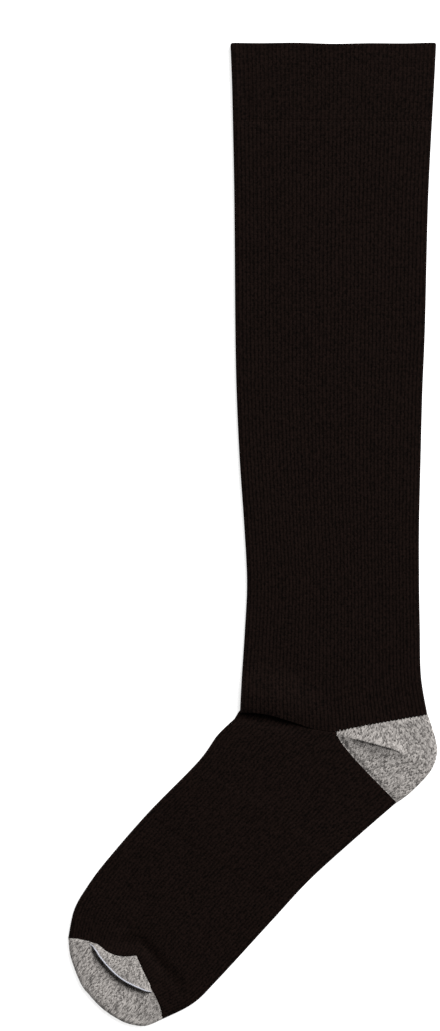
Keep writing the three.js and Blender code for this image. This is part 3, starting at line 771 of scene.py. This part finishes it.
def foot_ribs(s, passed):
    """The rib of the foot: fine, but twice as wide and much deeper in the arch band."""
    band = arch_band(s)
    return FOOT_RIB_HEIGHT * crown(passed) * (1 - band) + ARCH_RIB_HEIGHT * crown(passed / 2) * band


def foot_grooves(s, passed):
    """How far the underside goes up into its grooves: half of what its ribs leave of their full height."""
    full = FOOT_RIB_HEIGHT + (ARCH_RIB_HEIGHT - FOOT_RIB_HEIGHT) * arch_band(s)
    return 0.5 * (full - foot_ribs(s, passed))


def foot_raised(place, s, q, passed):
    """The folds of the foot, and its slack."""
    return lifted(foot_folds, place) + slack(FOOT_WAVES, FOOT_FLAT_ENDS, s, q)


# Rows lie closer together under the roll, at both ends of the arch band and in the folds near the toe
foot_ring = around(FOOT_RIBS, *FOOT_RIB_POINTS)
foot_rows = np.concatenate([
    np.linspace(0.001, 0.06, 16), np.linspace(0.066, 0.24, 26), np.linspace(0.245, 0.27, 8),
    np.linspace(0.278, 0.46, 24), np.linspace(0.465, 0.49, 8), np.linspace(0.497, 0.8, 40),
    np.linspace(0.806, 0.999, 40),
])[:, None]
foot_outer, foot_q = outer_skin(
    foot_shape, BODY_WALL, foot_ring, foot_rows,
    lambda place, s, q, passed: foot_raised(place, s, q, passed) + foot_ribs(s, passed),
    lambda place, s, q, passed: foot_grooves(s, passed),
)
foot_inner_rows = foot_rows[::FOOT_INNER_STEP]
foot_inner = inner_skin(foot_shape, BODY_WALL, foot_ring, foot_inner_rows, foot_raised)
foot_start = lip(foot_inner[0], foot_outer[0], outward(foot_first, foot_q[0], -1), OVERLAP, JOIN_STEPS)
foot_reach = OVERLAP + FOOT_END_ROLL
foot_end = lip(foot_outer[-1], foot_inner[-1], outward(foot_last, foot_q[-1], 1), foot_reach, LIP_STEPS)
foot_points = np.concatenate([foot_outer, foot_end, foot_inner[::-1], foot_start])
foot_along = np.concatenate([
    foot_rows[:, 0], np.full(LIP_STEPS, 1.0), foot_inner_rows[::-1, 0], np.full(JOIN_STEPS, 0.0),
]) * FOOT_LENGTH / COURSE
foot = knitted("foot_knit", foot_points, tube_counts(foot_ring[3], foot_along), black_knit)
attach(foot, "root")
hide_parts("foot")

# Toe cap. Plain knit in the same heather yarn as the heel, narrowed on both sides and closed at the tip.
# Its top is folded once across: a flap comes out from under the black and its rolled rim lies over the
# crescent of the tip, with a deep shadow under it.
TOE_WALL = 1.7
TOE_WALE = 1.1
TOE_COURSE = 0.85
TOE_STITCH = 0.08
TOE_RIBS = 48
TOE_FRONT_EDGE = [
    (-97.9, -213.3), (-96.6, -223.7), (-91.3, -237.5), (-86.5, -243.9), (-82.9, -247.9), (-80.6, -250.1),
]
TOE_SOLE_EDGE = [
    (-48.1, -256.5), (-57.2, -260), (-66.5, -258.7), (-73.8, -255.1), (-78.3, -252), (-80.6, -250.1),
]
FLAP_RIM = [
    (-97.6, -217.8), (-92, -216.6), (-86.8, -216.5), (-83.4, -219.3), (-80.7, -223.4), (-74.6, -230.4),
    (-67.8, -235.8), (-59.1, -240), (-52.8, -242.8), (-50.8, -249), (-51.4, -258.2),
]
TOE_LENGTH = 46.0
TOE_START = 0.003  # where its first row lies, as a part of that length
FLAP_AT = 0.1  # where the flap's rim lies
FLAP_ENDS = (0.145, 0.79)  # where along the rim the flap begins and ends
FLAP_RAMP = 0.06
FLAP_RISE = (0.8, 2.5)  # at the seam and at the rim
FLAP_THICK = 1.4
FLAP_ROLL = 0.5  # how far the rolled rim stands out
FLAP_TUCK = 0.07  # how far the cloth goes back under the flap
PLAIN_ROWS = (0.0015, 0.009, 0.02)  # how far past the rim the folded rows lie where there is no flap
UNDER_FALL = 0.85  # how much of the flap's height is gone where the cloth turns out again
GROOVE = (0.038, 0.05)  # how far past the rim the groove's floor goes, and then its wall
CRESCENT_SINK = 1.65  # how far the crescent is pressed down in the groove under the rim
CRESCENT_SHELF = 1.0  # how far down it still is past the groove's wall
CRESCENT_SLOPE = 0.42  # how far the slope goes that brings it up again
CRESCENT_SWELL = 0.5  # how far it swells up further out
CRESCENT_END, CRESCENT_FADE = 0.95, 0.6
OVER_ROWS = 14
ROLL_ROWS = 5
UNDER_ROWS = 6
TIP_ROWS = 130
TIP_END = 0.9995
EDGE_LIMIT = 0.3  # keeps the columns apart near the tip, where the toe is narrow
TIP_FROM = 0.45  # from here on the thickness follows the distance from the outline
OUTLINE_FROM = 0.3
TOE_SINK = 0.5  # how far the grey lies down where it goes under the black
TOE_SINK_ROWS = 0.06
TOE_INNER_END = 0.9

toe_half = TOE_WALL + SLIT / 2
toe_front, toe_sole, flap_rim = spline(TOE_FRONT_EDGE), spline(TOE_SOLE_EDGE), spline(FLAP_RIM)


def toe_shape(s, q):
    """The toe's plane shape. Its courses turn from the toe line into the flap's rim, then straighten out
    with the square of what is left of the way to the tip."""
    s, q = np.broadcast_arrays(s, q)
    a, b = toe_front(s), toe_sole(s)
    into = np.clip(s / FLAP_AT, 0, 1)
    after = np.where(s > FLAP_AT, ((1 - s) / (1 - FLAP_AT)) ** 2, into)[..., None]
    across = a + (b - a) * q[..., None]
    return across + bow(foot_last, q) * (1 - into)[..., None] + bow(flap_rim, q) * after


def flap(q):
    """How much of the flap there is at q: none at both ends of its rim, all between."""
    return ramp(q, FLAP_ENDS[0], FLAP_RAMP) * smooth((FLAP_ENDS[1] - q) / FLAP_RAMP)


toe_ring = around(TOE_RIBS, *RIB_POINTS)
toe_m, toe_angle, toe_side, _ = toe_ring
on_top = (toe_side > 0) * np.sin(toe_angle)
flap_share = flap(toe_m) * on_top
flap_seam, flap_peak = FLAP_RISE[0] * flap_share, FLAP_RISE[1] * flap_share

# The rows run over the flap, round its rolled rim, back under it, and then out over the crescent
over_s = TOE_START + (FLAP_AT - TOE_START) * np.linspace(0, 1, OVER_ROWS)[:, None] + 0 * toe_m
over_lift = flap_seam + (flap_peak - flap_seam) * np.sin(np.linspace(0, np.pi / 2, OVER_ROWS))[:, None]
roll_angle = np.linspace(np.pi / 2, -np.pi / 2, ROLL_ROWS + 2)[1:-1, None]
roll_s = FLAP_AT + PLAIN_ROWS[0] * (1 + np.arange(ROLL_ROWS))[:, None] * (1 - flap_share)
roll_lift = flap_peak - FLAP_THICK / 2 * flap_share * (1 - np.sin(roll_angle))
roll_out = FLAP_ROLL * flap_share * np.cos(roll_angle)
under_steps = np.linspace(0, 1, UNDER_ROWS)[:, None]
under_start = FLAP_AT + PLAIN_ROWS[1] * (1 - flap_share)
under_end = FLAP_AT + PLAIN_ROWS[2] * (1 - flap_share) - FLAP_TUCK * flap_share
under_s = under_start + (under_end - under_start) * under_steps
under_lift = (flap_peak - FLAP_THICK * flap_share) * (1 - UNDER_FALL * under_steps)
tip_s = under_end + (TIP_END - under_end) * np.linspace(0, 1, TIP_ROWS)[1:, None]
past_floor = tip_s - FLAP_AT - GROOVE[0]
tip_wall = smooth(past_floor / GROOVE[1])
tip_slope = smooth(past_floor / CRESCENT_SLOPE)
tip_bulge = tip_slope * smooth((CRESCENT_END - tip_s) / CRESCENT_FADE)
tip_lift = (
    CRESCENT_SWELL * tip_bulge - CRESCENT_SHELF * (1 - tip_slope)
    - (CRESCENT_SINK - CRESCENT_SHELF) * (1 - tip_wall)
) * flap_share
toe_s = np.concatenate([over_s, roll_s, under_s, tip_s])
toe_lift = np.concatenate([over_lift, roll_lift, under_lift, tip_lift])
toe_push = np.concatenate([0 * over_s, roll_out, 0 * under_s, 0 * tip_s])

toe_width = np.linalg.norm(toe_front(toe_s) - toe_sole(toe_s), axis=-1)
toe_edge = np.minimum(toe_half / toe_width, EDGE_LIMIT)
toe_q = toe_edge + toe_m * (1 - 2 * toe_edge) - (1 - 2 * toe_m) * toe_edge * np.cos(toe_angle)
toe_place = toe_shape(toe_s, toe_q) + outward(flap_rim, toe_q, 1) * toe_push[..., None]
outline_steps = np.linspace(OUTLINE_FROM, 1, 200)
outline = np.concatenate([toe_front(outline_steps), toe_sole(outline_steps)])
tip_gap = np.full(toe_s.shape, np.inf)
for point in outline:
    tip_gap = np.minimum(tip_gap, np.hypot(*np.moveaxis(toe_place - point, -1, 0)))
tip_swell = np.sqrt(1 - (1 - np.clip(tip_gap / toe_half, 0, 1)) ** 2)
toe_swell = np.where(toe_s > TIP_FROM, tip_swell, np.sin(toe_angle))
toe_wales = toe_width / TOE_WALE
toe_ribs = np.where(toe_side > 0, (toe_q - 0.5) * toe_wales, (1.5 - toe_q) * toe_wales)
toe_smooth = np.concatenate([toe_place, toe_lift[..., None]], -1)
toe_paces = np.linalg.norm(np.diff(toe_smooth, axis=0, prepend=toe_smooth[:1]), axis=-1)
toe_course = np.cumsum(toe_paces, axis=0) / TOE_COURSE
toe_course[-len(tip_s):] -= toe_course[-1]  # the crescent's courses are counted back from the tip
toe_stitch = TOE_STITCH * loop_relief(toe_ribs, toe_course)
toe_sink = TOE_SINK * smooth(1 - toe_s / TOE_SINK_ROWS) * (1 - flap_share)
toe_z = np.where(
    toe_side > 0,
    toe_half + toe_swell * (toe_half + toe_lift + toe_stitch - toe_sink),
    toe_half - toe_swell * (toe_half - TOE_STITCH + toe_stitch - UNDER_SHARE * toe_sink),
)
toe_outer = np.concatenate([toe_place, toe_z[..., None]], -1)

toe_inner_s = np.linspace(TOE_START, TOE_INNER_END, OVER_ROWS)[:, None]
toe_inner = inner_skin(toe_shape, TOE_WALL, toe_ring, toe_inner_s, lambda place, s, q, passed: 0 * q)
toe_start = lip(toe_inner[0], toe_outer[0], outward(foot_last, toe_q[0], -1), 2 * OVERLAP, JOIN_STEPS)
toe_points = np.concatenate([toe_inner[::-1], toe_start, toe_outer])
inner_course = -toe_inner_s[::-1] * TOE_LENGTH / TOE_COURSE
inner_counts = np.stack(np.broadcast_arrays(toe_ribs[:1], inner_course), -1)
start_counts = np.repeat(np.stack([toe_ribs[:1], 0 * toe_ribs[:1]], -1), JOIN_STEPS, 0)
outer_counts = np.stack([toe_ribs, toe_course], -1)
toe_counts = np.concatenate([inner_counts, start_counts, outer_counts])
toe = knitted("toe_cap_knit", toe_points, toe_counts, heather_knit, poles=True)
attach(toe, "root")
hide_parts("toe_cap")

# Toe seam. The courses of the toe are linked shut along the flap's rim with a white polyester thread of
# two plies, which lies proud along the rim and ends where the rim goes under the black.
THREAD_RADIUS = 0.36
THREAD_INSET = (0.01, 0.03)  # how far inside the flap's ends it begins and ends, as parts of the rim
THREAD_PACE = 0.2
THREAD_SIDES = 12
THREAD_TAPER = 5.0  # millimetres over which each end thins out
THREAD_TIP = 0.15  # how much of its radius is left at each end
TAPER_POWER = 0.6
PLY_TWIST = 1.9  # millimetres of thread for one turn of its plies
PLY_DEPTH = 0.2
THREAD_GRAIN = 2200.0  # one patch of fibre in about 0.45 mm
white_thread = bpy.data.materials.new("white_polyester_linking_thread")
white_thread.use_nodes = True
thread_grain = add_node(white_thread, "TexNoise", {
    "Vector": add_node(white_thread, "TexCoord").outputs["Object"], "Scale": THREAD_GRAIN, "Detail": 2.0,
})
tone = add_node(white_thread, "ValToRGB", {"Fac": thread_grain.outputs["Fac"]})
tone.color_ramp.elements[0].color = linear("#c2c4d0")
tone.color_ramp.elements[1].color = linear("#e9ebf4")
bumped = add_node(white_thread, "Bump", {"Height": thread_grain.outputs["Fac"], "Distance": 0.05 * MM})
shader = white_thread.node_tree.nodes["Principled BSDF"]
white_thread.node_tree.links.new(tone.outputs["Color"], shader.inputs["Base Color"])
white_thread.node_tree.links.new(bumped.outputs["Normal"], shader.inputs["Normal"])
shader.inputs["Roughness"].default_value = 0.6
shader.inputs["Specular IOR Level"].default_value = 0.3

rim_row = len(over_s) - 1
rim_q = toe_q[rim_row]
in_flap = (rim_q > FLAP_ENDS[0] + THREAD_INSET[0]) & (rim_q < FLAP_ENDS[1] - THREAD_INSET[1])
rim_path = toe_outer[rim_row][in_flap & (toe_side > 0)]
rim_gone = np.concatenate([[0], np.cumsum(np.linalg.norm(np.diff(rim_path[:, :2], axis=0), axis=1))])
thread_gone = np.linspace(0, rim_gone[-1], int(rim_gone[-1] / THREAD_PACE))
thread_path = np.stack([np.interp(thread_gone, rim_gone, rim_path[:, k]) for k in range(3)], -1)
thread_along = np.gradient(thread_path[:, :2], axis=0)
thread_along /= np.linalg.norm(thread_along, axis=1, keepdims=True)
thread_aside = np.stack([thread_along[:, 1], -thread_along[:, 0], 0 * thread_gone], -1)
turn = np.linspace(0, 2 * np.pi, THREAD_SIDES + 1)
from_end = np.minimum(thread_gone, thread_gone[-1] - thread_gone)
taper = np.minimum(1, from_end / THREAD_TAPER) ** TAPER_POWER * (1 - THREAD_TIP) + THREAD_TIP
ply_angle = 2 * (turn + 2 * np.pi * thread_gone[:, None] / PLY_TWIST)
radius = THREAD_RADIUS * taper[:, None] * (1 + PLY_DEPTH * np.cos(ply_angle))
thread_points = thread_path[:, None] + radius[..., None] * (
    thread_aside[:, None] * np.cos(turn)[:, None] + np.array([0, 0, 1.0]) * np.sin(turn)[:, None]
)
thread_counts = np.stack(np.broadcast_arrays(turn, thread_gone[:, None]), -1)
thread = knitted("toe_seam_thread", thread_points, thread_counts, white_thread, poles=True)
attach(thread, "root")
